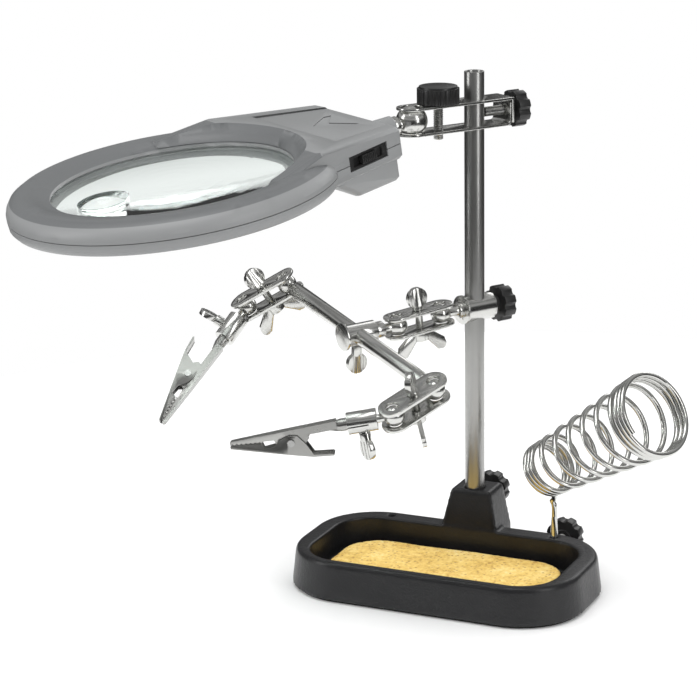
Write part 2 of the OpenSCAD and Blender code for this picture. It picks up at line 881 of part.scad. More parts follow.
// ---- Clip, its sleeve and its screw ----
// x runs from the sleeve's ball to the clip's tip, z out through the fixed jaw's back
sleeve_x0 = 8;
sleeve_x1 = 22;
sleeve_r = 5.25;
tail_r = 3;
rivet = [49.4, 0, -3.75];
tip_x = 78;
jaw_half = 2.7;
cheek = 0.7;

module clip_sleeve() {
    color("#c6c6c3")
    difference() {
        union() {
            ball(ball_r);
            rod_x(2, 4, sleeve_x0 + 0.1);
            rod_x(sleeve_r, sleeve_x0, sleeve_x1);
        }
        rod_x(tail_r + fit, sleeve_x0 + 2.5, sleeve_x1 + 1);
        translate([sleeve_x0 + 4, 1, -1.1]) cube([20, 10, 0.7]);
        translate([15, 0, 0]) rod_z(thumb_shank_r + fit, -10, -1);
    }
}

module sleeve_screw(turn) {
    translate([15, 0, -13.6]) rotate([180, 0, 0]) thumb_screw(8, 2.4, turn);
}

teeth = 7;
// Saw-toothed edge from (x0, z0) to (x1, z1), with the teeth standing up by h
function saw(x0, z0, x1, z1, h) = [
    for (i = [0:2 * teeth])
        let (k = i / (2 * teeth))
        [x0 + k * (x1 - x0), z0 + k * (z1 - z0) + (i % 2) * h]
];

module fixed_outline() {
    polygon(concat(
        [[27, 2.9], [tip_x - 0.8, 1.1], [tip_x, 0.4]],
        saw(tip_x, -0.7, 63, -2.1, 0.9),
        [[62.6, -1.1], [57.2, -1.4], [56, -4.6], [52.6, -7], [49.2, -7.6], [45.4, -6.7],
         [42.2, -4.8], [40.6, -2.9], [41.2, -1.3], [27, -1]]
    ));
}

module moving_outline() {
    polygon(concat(
        [[tip_x, -2.3]],
        saw(tip_x, -1, 63, -2.4, 0.9),
        [[62.4, -4.8], [57.4, -4.4], [55.4, -1.8], [50, 0], [46, -0.8], [42.6, -5.4],
         [39.8, -11.2], [31, -12.2], [30.4, -12.8], [31, -13.1], [40, -12.2]]
    ));
}

// Plan taper of a jaw: full width at the rivet, narrow at the tip
module jaw_plan(half) {
    translate([0, 0, -20]) linear_extrude(30)
        polygon([[20, -half], [52, -half], [tip_x + 1, -1.8], [tip_x + 1, 1.8], [52, half], [20, half]]);
}

// Side outline of a jaw given the width of its plan
module folded(half) {
    intersection() {
        jaw_plan(half);
        rotate([90, 0, 0]) translate([0, 0, -half]) linear_extrude(2 * half) children();
    }
}

module clip_fixed_jaw() {
    color("#b7b7b4")
    difference() {
        union() {
            difference() {
                folded(jaw_half) fixed_outline();
                translate([0, 0, -cheek])
                    intersection() {
                        jaw_plan(jaw_half - cheek);
                        rotate([90, 0, 0]) translate([0, 0, -5]) linear_extrude(10) {
                            fixed_outline();
                            translate([27, -12]) square([46, 11.2]);
                        }
                    }
            }
            rod_x(tail_r, sleeve_x0 + 3, 25.4);
            translate([25.4, 0, 0]) rotate([0, 90, 0]) cylinder(r1 = tail_r, r2 = 1.9, h = 5);
        }
        translate(rivet) rod_y(0.95, -5, 5);
    }
}

module clip_moving_jaw() {
    half = jaw_half + cheek + 0.15;
    color("#b7b7b4")
    difference() {
        folded(half) moving_outline();
        translate([0, 0, cheek])
            intersection() {
                jaw_plan(half - cheek);
                rotate([90, 0, 0]) translate([0, 0, -5]) linear_extrude(10)
                    union() {
                        moving_outline();
                        translate([41.5, -9.6]) square([12, 9]);
                    }
            }
        translate(rivet) rod_y(0.95, -5, 5);
    }
}

module clip_rivet() {
    color("#d2d2d0")
    translate(rivet) {
        rod_y(0.9, -4.2, 4.2);
        rod_y(1.7, -4.4, -3.75);
        rod_y(1.7, 3.75, 4.4);
    }
}

module clip_spring() {
    color("#8f8f8d")
    translate(rivet) {
        difference() {
            union() {
                rod_y(1.75, -1.5, 1.5);
                translate([-6, -1.4, 1]) cube([6, 0.6, 0.6]);
                rotate([0, 60, 0]) translate([0, 0.8, 1]) cube([5.1, 0.6, 0.6]);
            }
            rod_y(1.1, -2, 2);
        }
    }
}

module left_clip_sleeve() { at_left_clip() clip_sleeve(); }
module left_sleeve_screw() { at_left_clip() sleeve_screw(60); }
module left_clip_fixed_jaw() { at_left_clip() clip_fixed_jaw(); }
module left_clip_moving_jaw() { at_left_clip() clip_moving_jaw(); }
module left_clip_rivet() { at_left_clip() clip_rivet(); }
module left_clip_spring() { at_left_clip() clip_spring(); }
module right_clip_sleeve() { at_right_clip() clip_sleeve(); }
module right_sleeve_screw() { at_right_clip() sleeve_screw(60); }
module right_clip_fixed_jaw() { at_right_clip() clip_fixed_jaw(); }
module right_clip_moving_jaw() { at_right_clip() clip_moving_jaw(); }
module right_clip_rivet() { at_right_clip() clip_rivet(); }
module right_clip_spring() { at_right_clip() clip_spring(); }

base_casting();
base_pad();
sponge();
pole();
pole_lock_knob();
pole_lock_screw();
holder_lock_knob();
holder_lock_screw();
iron_holder();
bracket_upper_plate();
bracket_lower_plate();
bracket_knob();
bracket_bolt();
bracket_star_knob();
bracket_star_screw();
magnifier_ball_stud();
magnifier_top_shell();
magnifier_bottom_shell();
main_lens();
inset_lens();
battery_door();
batteries();
battery_contacts();
switch_body();
switch_slider();
leds();
shell_screws();
collar();
collar_ball_stud();
collar_star_knob();
collar_star_screw();
mid_upper_plate();
mid_lower_plate();
mid_thumb_screw();
mid_wing_nut();
tee_barrel();
tee_ball_stud();
tee_thumb_screw();
arm_rod();
left_upper_plate();
left_lower_plate();
left_thumb_screw();
left_wing_nut();
left_clip_sleeve();
left_sleeve_screw();
left_clip_fixed_jaw();
left_clip_moving_jaw();
left_clip_rivet();
left_clip_spring();
right_upper_plate();
right_lower_plate();
right_thumb_screw();
right_wing_nut();
right_clip_sleeve();
right_sleeve_screw();
right_clip_fixed_jaw();
right_clip_moving_jaw();
right_clip_rivet();
right_clip_spring();
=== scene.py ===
import bpy
import bmesh
import json
import math
from mathutils import Matrix, Vector


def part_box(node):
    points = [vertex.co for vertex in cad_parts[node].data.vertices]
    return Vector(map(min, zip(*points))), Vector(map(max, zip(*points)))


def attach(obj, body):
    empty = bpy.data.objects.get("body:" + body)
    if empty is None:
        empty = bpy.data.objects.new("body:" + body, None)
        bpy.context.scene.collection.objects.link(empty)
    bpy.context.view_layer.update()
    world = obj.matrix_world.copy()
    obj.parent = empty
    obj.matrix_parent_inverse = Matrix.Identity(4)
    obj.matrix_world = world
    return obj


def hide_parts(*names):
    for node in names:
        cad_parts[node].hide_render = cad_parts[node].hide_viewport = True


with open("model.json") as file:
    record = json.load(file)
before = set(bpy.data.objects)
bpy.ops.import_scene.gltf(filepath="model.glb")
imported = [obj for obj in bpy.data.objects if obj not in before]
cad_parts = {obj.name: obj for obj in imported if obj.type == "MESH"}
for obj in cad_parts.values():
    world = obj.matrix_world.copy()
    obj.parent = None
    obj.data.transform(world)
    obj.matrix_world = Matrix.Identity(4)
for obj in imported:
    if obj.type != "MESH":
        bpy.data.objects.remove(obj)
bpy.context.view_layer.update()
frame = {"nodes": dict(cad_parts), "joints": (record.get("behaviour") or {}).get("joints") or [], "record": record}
nodes = frame["nodes"]
mm = 0.001
weldDistance = 0.002 * mm


# small helpers

def deselectAll():
    if bpy.context.object and bpy.context.object.mode != "OBJECT":
        bpy.ops.object.mode_set(mode="OBJECT")
    bpy.ops.object.select_all(action="DESELECT")


def pick(thing):
    deselectAll()
    thing.select_set(True)
    bpy.context.view_layer.objects.active = thing


def selectFaces(test):
    # selects faces of the active mesh by a test on their centre and normal
    bpy.ops.mesh.select_all(action="DESELECT")
    bpy.ops.mesh.select_mode(type="FACE")
    mesh = bmesh.from_edit_mesh(bpy.context.object.data)
    for face in mesh.faces:
        face.select_set(test(face.calc_center_median(), face.normal))
    bmesh.update_edit_mesh(bpy.context.object.data)


def applied(thing, kind, **settings):
    # adds a modifier and applies it at once
    pick(thing)
    modifier = thing.modifiers.new(kind.title(), kind)
    for name, value in settings.items():
        setattr(modifier, name, value)
    bpy.ops.object.modifier_apply(modifier=modifier.name)


def smooth(thing, degrees):
    pick(thing)
    bpy.ops.object.shade_smooth_by_angle(angle=math.radians(degrees))
    return thing


def freeze(thing):
    # the object goes to the origin and its place into its mesh
    pick(thing)
    bpy.ops.object.transform_apply(location=True, rotation=True, scale=True)


def dress(thing, body, node):
    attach(thing, body)
    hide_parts(node)
    return thing


def paint(thing, material):
    thing.data.materials.clear()
    thing.data.materials.append(material)


def bodyOf(node):
    # the moving body that holds a CAD node
    for body, members in frame["record"]["behaviour"]["bodies"].items():
        if node in members:
            return body


# shader maths

class Wire:
    # a socket that can be added, multiplied and so on
    def __init__(self, tree, socket):
        self.tree = tree
        self.socket = socket

    def maths(self, operation, first, second):
        node = self.tree.nodes.new("ShaderNodeMath")
        node.operation = operation
        for index, value in enumerate((first, second)):
            if isinstance(value, Wire):
                self.tree.links.new(value.socket, node.inputs[index])
            else:
                node.inputs[index].default_value = value
        return Wire(self.tree, node.outputs[0])

    def __add__(self, other):
        return self.maths("ADD", self, other)

    def __radd__(self, other):
        return self.maths("ADD", other, self)

    def __mul__(self, other):
        return self.maths("MULTIPLY", self, other)


class Finish:
    # one material with a Principled shader, and the nodes that feed it
    def __init__(self, name, **constants):
        self.material = bpy.data.materials.new(name)
        self.material.use_nodes = True
        self.tree = self.material.node_tree
        self.shader = self.tree.nodes["Principled BSDF"]
        for key, value in constants.items():
            self.set(key, value)
        self.place = self.add("ShaderNodeTexCoord", out="Object")

    def set(self, key, value):
        names = {"color": "Base Color", "rough": "Roughness", "metal": "Metallic", "coat": "Coat Weight",
                 "coatRough": "Coat Roughness", "ior": "IOR", "specular": "Specular IOR Level",
                 "transmission": "Transmission Weight", "normal": "Normal", "sheen": "Sheen Weight"}
        socket = self.shader.inputs[names[key]]
        if isinstance(value, Wire):
            self.tree.links.new(value.socket, socket)
        elif isinstance(value, (tuple, list)) and len(value) == 3:
            socket.default_value = (*value, 1)
        else:
            socket.default_value = value

    def add(self, kind, settings=None, out=0, **sockets):
        node = self.tree.nodes.new(kind)
        for key, value in (settings or {}).items():
            if key == "stops":
                ramp = node.color_ramp
                while len(ramp.elements) < len(value):
                    ramp.elements.new(0.5)
                for element, (spot, tone) in zip(ramp.elements, value):
                    element.position = spot
                    element.color = (*tone, 1) if isinstance(tone, tuple) else (tone, tone, tone, 1)
            else:
                setattr(node, key, value)
        for key, value in sockets.items():
            socket = node.inputs[int(key[1:])] if key[0] == "i" and key[1:].isdigit() else node.inputs[key]
            if isinstance(value, Wire):
                self.tree.links.new(value.socket, socket)
            elif isinstance(value, (tuple, list)) and len(value) == 3 and len(socket.default_value) == 4:
                socket.default_value = (*value, 1)
            else:
                socket.default_value = value
        return Wire(self.tree, node.outputs[out])

    def noise(self, scale, detail=3, rough=0.55, stretch=(1, 1, 1)):
        spot = self.add("ShaderNodeMapping", i0=self.place, Scale=stretch)
        return self.add("ShaderNodeTexNoise", i0=spot, Scale=scale, Detail=detail, Roughness=rough)

    def ramp(self, value, stops):
        return self.add("ShaderNodeValToRGB", {"stops": stops}, i0=value)

    def blend(self, share, first, second):
        return self.add("ShaderNodeMix", {"data_type": "RGBA"}, out=2, i0=share, i6=first, i7=second)

    def bump(self, height, strength, distance):
        relief = self.add("ShaderNodeBump", Strength=strength, Distance=distance, Height=height)
        self.set("normal", relief)


def makeCastingPaint():
    look = Finish("blackCastingPaint", color=(0.01, 0.01, 0.011), rough=0.3, specular=0.42)
    grain = look.noise(420, 4, 0.6)
    broad = look.noise(60, 3, 0.5)
    pits = look.noise(1100, 2, 0.5)
    look.set("rough", 0.2 + grain * 0.18 + broad * 0.1)
    look.set("color", look.blend(broad, (0.005, 0.005, 0.006), (0.013, 0.013, 0.014)))
    look.bump(grain * 0.6 + pits * 0.4, 0.5, 0.0005)
    return look.material


def makeRubber():
    look = Finish("padRubber", color=(0.015, 0.015, 0.015), rough=0.8)
    grain = look.noise(900, 3)
    look.set("rough", 0.7 + grain * 0.2)
    look.bump(grain, 0.3, 0.0002)
    return look.material


def makeSponge():
    look = Finish("celluloseSponge", rough=0.95, sheen=0.15)
    broad = look.noise(70, 4, 0.6)
    specks = look.noise(520, 3, 0.6)
    pores = look.add("ShaderNodeTexVoronoi", {"feature": "F1"}, i0=look.place, Scale=380.0)
    tone = look.ramp(broad * 0.5 + specks * 0.5,
                     [(0.34, (0.5, 0.27, 0.04)), (0.44, (0.78, 0.5, 0.1)), (0.56, (0.9, 0.64, 0.18)),
                      (0.72, (0.96, 0.78, 0.36))])
    holes = look.ramp(pores, [(0.1, 0.0), (0.3, 1.0)])
    look.set("color", look.blend(holes, (0.5, 0.25, 0.04), tone))
    look.bump(specks * 0.6 + holes * 0.4, 0.8, 0.0008)
    return look.material


def scaled(tone, factor):
    return tuple(min(1.0, factor * channel) for channel in tone)


def makeSteel(name, tone, rough, spread, streak=None):
    look = Finish(name, color=tone, metal=1.0, rough=rough)
    smear = look.noise(90, 4, 0.6)
    if streak:
        lines = look.noise(streak[0], 3, 0.6, streak[1])
        look.set("rough", rough + lines * spread + smear * 0.03)
        look.set("color", look.blend(lines, scaled(tone, 0.82), scaled(tone, 1.08)))
        look.bump(lines, 0.06, 0.0002)
    else:
        fine = look.noise(700, 3, 0.5)
        look.set("rough", rough + smear * spread)
        look.set("color", look.blend(smear, scaled(tone, 0.9), scaled(tone, 1.05)))
        look.bump(fine, 0.03, 0.0002)
    return look.material


def makePlastic(name, tone, rough, grainScale, grainDepth):
    look = Finish(name, color=tone, rough=rough)
    fine = look.noise(grainScale, 3, 0.6)
    broad = look.noise(40, 3, 0.5)
    look.set("rough", rough - 0.06 + fine * 0.12)
    look.set("color", look.blend(broad, scaled(tone, 0.98), scaled(tone, 1.02)))
    look.bump(fine, grainDepth, 0.0002)
    return look.material


def makeGlass(name, tint):
    look = Finish(name, color=tint, rough=0.0, ior=1.12, transmission=1.0, coat=0.5, coatRough=0.02)
    smear = look.noise(30, 2, 0.5)
    look.set("rough", smear * 0.012)
    return look.material


def makeCellWrap():
    look = Finish("cellWrap", rough=0.3, metal=0.4)
    bands = look.noise(25, 2, 0.5)
    look.set("color", look.blend(bands, (0.1, 0.16, 0.25), (0.16, 0.24, 0.35)))
    return look.material


def makeLamp():
    look = Finish("lampResin", rough=0.08, transmission=0.6, ior=1.5)
    haze = look.noise(300, 2)
    look.set("color", look.blend(haze, (0.9, 0.92, 0.96), (0.97, 0.98, 1.0)))
    return look.material


finish = {
    "black_casting": makeCastingPaint(),
    "foot_pad": makeRubber(),
    "sponge": makeSponge(),
    "brushed_pole": makeSteel("brushedPole", (0.42, 0.42, 0.41), 0.25, 0.14, (420, (1, 1, 0.015))),
    "polished_steel": makeSteel("nickelPlate", (0.62, 0.62, 0.6), 0.17, 0.1),
    "screw_steel": makeSteel("zincScrew", (0.48, 0.48, 0.47), 0.22, 0.12),
    "holder_wire": makeSteel("springWire", (0.62, 0.62, 0.6), 0.08, 0.06),
    "plated_clip": makeSteel("platedSheet", (0.4, 0.4, 0.385), 0.22, 0.14),
    "black_knob": makePlastic("blackKnobPlastic", (0.012, 0.012, 0.012), 0.36, 900, 0.12),
    "grey_shell": makePlastic("greyShellPlastic", (0.225, 0.23, 0.232), 0.42, 1300, 0.1),
    "black_switch": makePlastic("switchPlastic", (0.012, 0.012, 0.012), 0.45, 1000, 0.1),
    "lens_glass": makeGlass("lensGlass", (0.92, 0.975, 0.95)),
    "cell_wrap": makeCellWrap(),
    "led_resin": makeLamp(),
}
seamGrey = makePlastic("greySeamPlastic", (0.035, 0.036, 0.037), 0.6, 1300, 0.06)
# painted shade: a darker grey standing in for the shade on the cone round the lens
funnelShadeGrey = makePlastic("greyFunnelShadePlastic", (0.125, 0.13, 0.133), 0.38, 1300, 0.06)
slotOf = {row["node"]: row["material_slot"] for row in frame["record"]["subparts"]}
for name, thing in nodes.items():
    paint(thing, finish[slotOf[name]])
print("finishes made")


# softened copies of the turned, bent and moulded parts
edgeAngle, smoothAngle, mergeAngle, shellMergeAngle = 38, 32, 0.6, 0.05
softEdges = {  # width of the broken edge in mm and its steps
    "pole": (0.25, 2), "pole_lock_knob": (0.7, 3), "holder_lock_knob": (0.7, 3),
    "bracket_star_knob": (0.7, 3), "collar_star_knob": (0.7, 3), "bracket_knob": (0.3, 2),
    "bracket_upper_plate": (0.3, 2), "bracket_lower_plate": (0.3, 2),
    "magnifier_ball_stud": (0.3, 2), "collar": (0.5, 2), "collar_ball_stud": (0.3, 2),
    "tee_barrel": (0.5, 2), "tee_ball_stud": (0.3, 2), "arm_rod": (0.4, 2),
    "mid_upper_plate": (0.35, 2), "mid_lower_plate": (0.35, 2), "mid_thumb_screw": (0.3, 2),
    "mid_wing_nut": (0.5, 2), "tee_thumb_screw": (0.3, 2), "battery_door": (0.4, 2),
    "switch_body": (0.3, 2), "switch_slider": (0.15, 2),
}
for side in ("left", "right"):
    softEdges.update({
        side + "_upper_plate": (0.35, 2), side + "_lower_plate": (0.35, 2),
        side + "_thumb_screw": (0.3, 2), side + "_wing_nut": (0.5, 2),
        side + "_clip_sleeve": (0.35, 2), side + "_sleeve_screw": (0.3, 2),
        side + "_clip_fixed_jaw": (0.12, 1), side + "_clip_moving_jaw": (0.12, 1)})


def cleanCopy(node, name, flat=None):
    # a CAD node's mesh, welded and free to be finished, with faces flatter than flat degrees made one
    source = nodes[node]
    copy = source.copy()
    copy.data = source.data.copy()
    copy.name = name
    for key in list(copy.keys()):
        del copy[key]
    copy.parent = None
    bpy.context.scene.collection.objects.link(copy)
    pick(copy)
    bpy.ops.object.mode_set(mode="EDIT")
    bpy.ops.mesh.select_all(action="SELECT")
    bpy.ops.mesh.remove_doubles(threshold=weldDistance)
    if flat is not None:
        bpy.ops.mesh.dissolve_limited(angle_limit=math.radians(flat))
    bpy.ops.object.mode_set(mode="OBJECT")
    return copy


def softened(node, width, steps, flat=mergeAngle):
    copy = cleanCopy(node, node + "_finished", flat)
    applied(copy, "BEVEL", width=width * mm, segments=steps, limit_method="ANGLE",
            angle_limit=math.radians(edgeAngle), use_clamp_overlap=True)
    smooth(copy, smoothAngle)
    paint(copy, finish[slotOf[node]])
    return dress(copy, bodyOf(node), node)


for node, (width, steps) in softEdges.items():
    softened(node, width, steps)
print("small parts finished")

# magnifier shells
shells = {
    "edge": (0.5, 2),
    "reach": 133, "openingUp": 6.3,  # from the ball to the middle of the lens opening
    "funnel": (56.4, 75.2), "lowest": -0.4, "crest": 4.05, "handleTop": 50,
    "leanIn": 0.1, "leanUp": 0.2,
    "door": (66, 41.8, 0.31), "doorLow": 2, "seamLean": 0.9,  # front, half width there, taper
}
jointOf = {joint["name"]: joint for joint in frame["joints"]}


def ringFrame():
    # x runs back from the lens centre to the handle, z up through the lens
    ball = Vector(jointOf["magnifier_swing"]["pos_m"])
    out = Vector(jointOf["magnifier_roll"]["axis"])
    left = Vector((0, 0, 1)).cross(out).normalized()
    up = out.cross(left)
    centre = ball + out * shells["reach"] * mm + up * shells["openingUp"] * mm
    turn = Matrix((-out, -left, up)).transposed().to_4x4()
    return Matrix.Translation(centre) @ turn


ring = ringFrame()
topShell = softened("magnifier_top_shell", *shells["edge"], shellMergeAngle)
softened("magnifier_bottom_shell", *shells["edge"], shellMergeAngle)
# the second slot holds the painted shade for the cone round the lens
topShell.data.materials.append(funnelShadeGrey)
toRing = ring.inverted()
door = bpy.data.objects["battery_door_finished"]
door.data.materials.append(seamGrey)
topShell.data.materials.append(seamGrey)


def inFunnelShade(centre, normal):
    # painted shade: the cone round the lens, out to the crest of the ring, is coloured darker
    spot = toRing @ centre
    tilt = toRing.to_3x3() @ normal
    away = math.hypot(spot.x, spot.y)
    inward = -(tilt.x * spot.x + tilt.y * spot.y) / away
    low, high = shells["funnel"]
    inBand = low * mm < away < high * mm and spot.z > shells["lowest"] * mm
    onRing = spot.z < shells["crest"] * mm or spot.x < shells["handleTop"] * mm
    return inBand and (inward > shells["leanIn"] or onRing) and tilt.z > shells["leanUp"]


def inSeam(centre, normal):
    # edges around the battery door
    spot = toRing @ centre
    front, halfWidth, taper = shells["door"]
    side = halfWidth * mm - (spot.x - front * mm) * taper
    inDoor = spot.x > front * mm and abs(spot.y) < side and spot.z > shells["doorLow"] * mm
    return inDoor and (toRing.to_3x3() @ normal).z < shells["seamLean"]


def colourFaces(thing, test, slotIndex):
    pick(thing)
    bpy.ops.object.mode_set(mode="EDIT")
    selectFaces(test)
    bpy.context.object.active_material_index = slotIndex
    bpy.ops.object.material_slot_assign()
    bpy.ops.object.mode_set(mode="OBJECT")


# the seam around the battery door is in shadow
colourFaces(door, inSeam, 1)
# painted shade on the cone round the lens
colourFaces(topShell, inFunnelShade, 1)
colourFaces(topShell, inSeam, 2)
print("magnifier shells finished")

# threads
threads = {"pitch": 0.9, "depth": 0.36, "sides": 28, "weld": 0.001, "smoothAngle": 50}


def threadedRod(name, start, end, radius):
    # one ridge, repeated along the rod
    length = (end - start).length
    count = max(3, round(length / (threads["pitch"] * mm)))
    step = length / count
    weld = threads["weld"] * mm
    deselectAll()
    bpy.ops.mesh.primitive_cone_add(vertices=threads["sides"], radius1=radius * mm,
                                    radius2=(radius - threads["depth"]) * mm, depth=step / 2,
                                    end_fill_type="NOTHING", location=(0, 0, step / 4))
    rod = bpy.context.object
    rod.name = name
    freeze(rod)
    applied(rod, "MIRROR", use_axis=(False, False, True), use_mirror_merge=True, merge_threshold=weld)
    applied(rod, "ARRAY", count=count, use_relative_offset=False, use_constant_offset=True,
            constant_offset_displace=(0, 0, step), use_merge_vertices=True, merge_threshold=weld)
    bpy.ops.object.mode_set(mode="EDIT")
    bpy.ops.mesh.select_mode(type="EDGE")
    bpy.ops.mesh.select_all(action="DESELECT")
    bpy.ops.mesh.select_non_manifold()
    bpy.ops.mesh.edge_face_add()
    bpy.ops.mesh.select_all(action="SELECT")
    bpy.ops.mesh.normals_make_consistent(inside=False)
    bpy.ops.object.mode_set(mode="OBJECT")
    turn = (end - start).to_track_quat("Z", "Y").to_matrix().to_4x4()
    rod.data.transform(Matrix.Translation(start) @ turn)
    return smooth(rod, threads["smoothAngle"])


def threadNode(node, jointName):
    # the rod runs over the length of its node, about the joint's axis
    spot = Vector(jointOf[jointName]["pos_m"])
    axis = Vector(jointOf[jointName]["axis"]).normalized()
    corners = [nodes[node].matrix_world @ vertex.co - spot for vertex in nodes[node].data.vertices]
    along = [corner.dot(axis) for corner in corners]
    radius = max((corner - axis * corner.dot(axis)).length for corner in corners) / mm
    rod = threadedRod(node + "_threads", spot + axis * min(along), spot + axis * max(along), radius)
    paint(rod, finish["screw_steel"])
    return dress(rod, bodyOf(node), node)


for node, jointName in (("bracket_bolt", "bracket_clamp_turn"), ("bracket_star_screw", "bracket_screw_turn"),
                        ("collar_star_screw", "collar_screw_turn"), ("pole_lock_screw", "pole_lock_turn"),
                        ("holder_lock_screw", "holder_lock_turn")):
    threadNode(node, jointName)
print("threads cut")

# cast base
casting = {"voxel": 0.75, "smoothing": 7}

base = cleanCopy("base_casting", "cast_base")
applied(base, "REMESH", mode="VOXEL", voxel_size=casting["voxel"] * mm)
applied(base, "SMOOTH", factor=0.5, iterations=casting["smoothing"])
bpy.ops.object.shade_smooth()
paint(base, finish["black_casting"])
dress(base, "base", "base_casting")
print("base made")

# sponge
sponge = {
    "length": 118, "width": 55, "thick": 7, "corner": 19, "voxel": 0.9, "rounding": 4,
    "sideRoom": 1.2, "floorRoom": 0.4, "topRoom": 0.9, "fill": 0.7,
    "dents": (22, 0.9), "pores": (2.2, 0.35),  # spacing and depth
}


def makeSpongePad():
    low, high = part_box("sponge")
    middle = (low + high) / 2
    deselectAll()
    bpy.ops.mesh.primitive_plane_add(size=1, location=(middle.x, middle.y, low.z + sponge["floorRoom"] * mm))
    pad = bpy.context.object
    pad.scale = ((sponge["length"] - sponge["sideRoom"]) * mm, (sponge["width"] - sponge["sideRoom"]) * mm, 1)
    freeze(pad)
    bpy.ops.object.mode_set(mode="EDIT")
    bpy.ops.mesh.select_all(action="SELECT")
    bpy.ops.mesh.bevel(offset=sponge["corner"] * mm, segments=14, affect="VERTICES")
    bpy.ops.mesh.select_all(action="SELECT")
    bpy.ops.mesh.extrude_region_move(
        TRANSFORM_OT_translate={"value": (0, 0, (sponge["thick"] - sponge["topRoom"]) * mm)})
    bpy.ops.mesh.select_all(action="SELECT")
    bpy.ops.mesh.normals_make_consistent(inside=False)
    bpy.ops.object.mode_set(mode="OBJECT")
    applied(pad, "REMESH", mode="VOXEL", voxel_size=sponge["voxel"] * mm)
    applied(pad, "SMOOTH", factor=0.5, iterations=sponge["rounding"])
    for spacing, depth in (sponge["dents"], sponge["pores"]):
        texture = bpy.data.textures.new("spongeRelief", "CLOUDS")
        texture.noise_scale = spacing * mm
        applied(pad, "DISPLACE", texture=texture, strength=depth * mm, mid_level=0.5,
                texture_coords="LOCAL")
    bpy.ops.object.shade_smooth()
    pad.name = "sponge_pad"
    paint(pad, finish["sponge"])
    return dress(pad, "sponge", "sponge")


makeSpongePad()
print("sponge made")

# iron holder
holder = {
    "wire": 2.8, "start": (39, 36, 55), "azimuth": -25, "rise": 32, "length": 89,
    "smallRadius": 12.8, "bigRadius": 20.3, "turns": 11.8, "closeTurns": 3, "stepsPerTurn": 48,
    "closeness": 1.06,  # pitch of the close turns in wire widths
    "hole": (45, 36.1), "bow": (0.5, 0.8, -0.3),
    "leg": ((0, 0, 30), (0, 0, 33.5), (0, 0, 36), (-0.3, 0, 38), (-1.2, -0.1, 39.6)),
    "footRadius": 1.95, "foot": (8.3, 23, 32),
    "neck": 0.98,  # the foot's shoulder ends a little inside the wire
}


def holderCentreLine():
    # leg out of the base, a bend, then the coil with close turns at both ends
    azimuth, rise = math.radians(holder["azimuth"]), math.radians(holder["rise"])
    along = Vector((math.cos(rise) * math.cos(azimuth), math.cos(rise) * math.sin(azimuth), math.sin(rise)))
    side = Vector((-math.sin(azimuth), math.cos(azimuth), 0))
    up = along.cross(side)
    allTurns, closeTurns = holder["turns"], holder["closeTurns"]
    closePitch = holder["wire"] * holder["closeness"]
    openTurns = allTurns - 2 * closeTurns
    openPitch = (holder["length"] - 2 * closeTurns * closePitch) / openTurns

    def travel(turns):
        inOpen = min(max(turns - closeTurns, 0), openTurns)
        return (turns - inOpen) * closePitch + inOpen * openPitch

    def eased(turns):
        # the real wire changes its lead over half a turn
        return sum(travel(min(max(turns + step * 0.05, 0), allTurns)) for step in range(-4, 5)) / 9

    def point(turns):
        go = eased(turns)
        radius = holder["smallRadius"] + (holder["bigRadius"] - holder["smallRadius"]) * go / holder["length"]
        angle = math.radians(360 * turns - 90)
        return (Vector(holder["start"]) + along * go + side * (radius * math.cos(angle))
                + up * (radius * math.sin(angle)))

    x, y = holder["hole"]
    leg = [Vector((x + dx, y + dy, z)) for dx, dy, z in holder["leg"]]
    gap = point(0) - leg[-1]
    bow = Vector(holder["bow"])
    bend = [leg[-1] + gap * (step / 5) + bow * math.sin(math.pi * step / 5) for step in range(1, 5)]
    count = int(allTurns * holder["stepsPerTurn"])
    return leg + bend + [point(step * allTurns / count) for step in range(count + 1)]


def bentWire(name, points, radius, roundness):
    deselectAll()
    curve = bpy.data.curves.new(name, "CURVE")
    curve.dimensions = "3D"
    spline = curve.splines.new("POLY")
    spline.points.add(len(points) - 1)
    for bead, spot in zip(spline.points, points):
        bead.co = (*(spot * mm), 1)
    curve.bevel_depth = radius * mm
    curve.bevel_resolution = roundness
    curve.use_fill_caps = True
    thing = bpy.data.objects.new(name, curve)
    bpy.context.scene.collection.objects.link(thing)
    pick(thing)
    bpy.ops.object.convert(target="MESH")
    return bpy.context.object


holderWire = bentWire("ironHolderWire", holderCentreLine(), holder["wire"] / 2, 12)
foot = holder["foot"]
bpy.ops.object.select_all(action="DESELECT")
bpy.ops.mesh.primitive_cylinder_add(vertices=48, radius=holder["footRadius"] * mm,
                                    depth=(foot[1] - foot[0]) * mm,
                                    location=(holder["hole"][0] * mm, holder["hole"][1] * mm,
                                              (foot[0] + foot[1]) / 2 * mm))
footPiece = bpy.context.object
bpy.ops.object.mode_set(mode="EDIT")
selectFaces(lambda centre, normal: normal.z > 0.9)  # the shoulder tapers to the wire
bpy.ops.mesh.extrude_region_move(TRANSFORM_OT_translate={"value": (0, 0, (foot[2] - foot[1]) * mm)})
ratio = holder["wire"] / 2 / holder["footRadius"] * holder["neck"]
bpy.ops.transform.resize(value=(ratio, ratio, 1))
bpy.ops.object.mode_set(mode="OBJECT")
freeze(footPiece)
deselectAll()
footPiece.select_set(True)
holderWire.select_set(True)
bpy.context.view_layer.objects.active = holderWire
bpy.ops.object.join()
holderWire.name = "iron_holder_wire"
smooth(holderWire, 40)
paint(holderWire, finish["holder_wire"])
dress(holderWire, "iron_holder", "iron_holder")
print("iron holder made")

# room, lights and camera
camera = {"place": (0.4456, -1.0917, 0.4526), "yaw": 24.51, "down": 15.51, "roll": -0.91,
          "lens": 128.1099, "sensor": 36.0}


